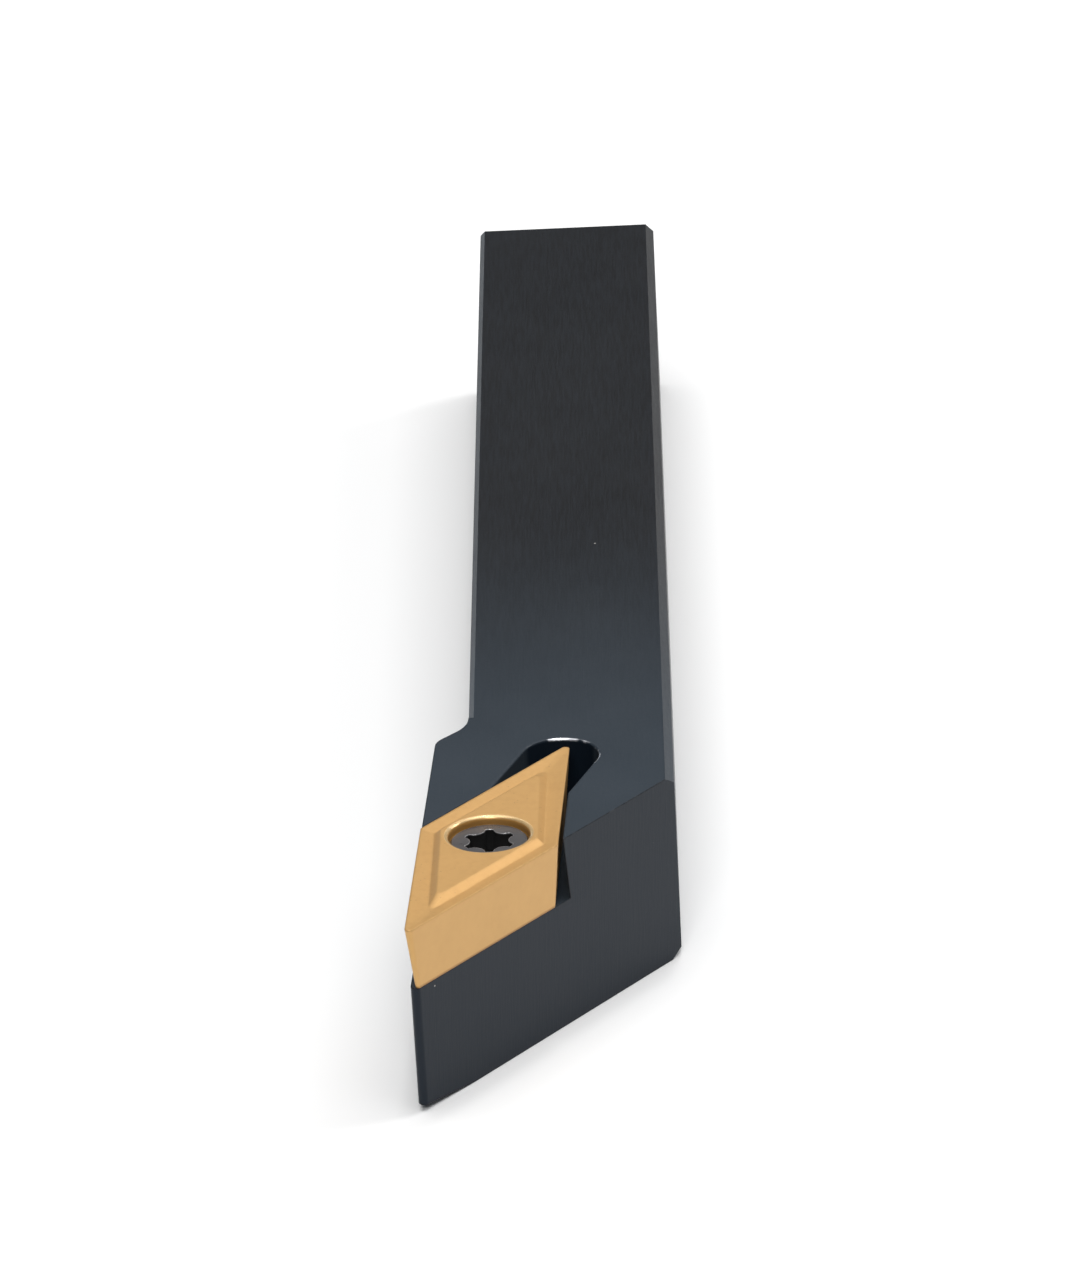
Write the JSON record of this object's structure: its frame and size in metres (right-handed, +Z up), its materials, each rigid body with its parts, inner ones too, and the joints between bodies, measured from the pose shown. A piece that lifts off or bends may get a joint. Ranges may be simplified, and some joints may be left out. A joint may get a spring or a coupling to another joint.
{
  "type": "turning tool holder",
  "caption": "Left-hand external lathe tool holder: square steel shank, offset head, and a coated 35 degree rhombic insert held by a countersunk screw.",
  "frame": {"origin": "on the shank's underside, on its centre plane, half way along the tool from the insert's sharp corner to the shank's end", "axes": "+Y back along the shank, +X towards the reference side, +Z up; the cutting corner is at -X -Y"},
  "size_m": [0.0122, 0.0884, 0.0097],
  "materials": {
    "black_oxide_steel": "satin black oxide over ground steel",
    "coated_carbide": "satin gold nitride coating on sintered carbide",
    "dark_steel": "dark oiled hardened steel"
  },
  "bodies": {
    "holder": {"holder_body": "black_oxide_steel", "cutting_insert": "coated_carbide"},
    "screw": {"insert_screw": "dark_steel"}
  },
  "joints": [
    {"name": "screw_lift", "type": "slide", "parent": "holder", "child": "screw", "axis": [0, 0, 1], "range_m": [0, 0.0033]}
  ]
}
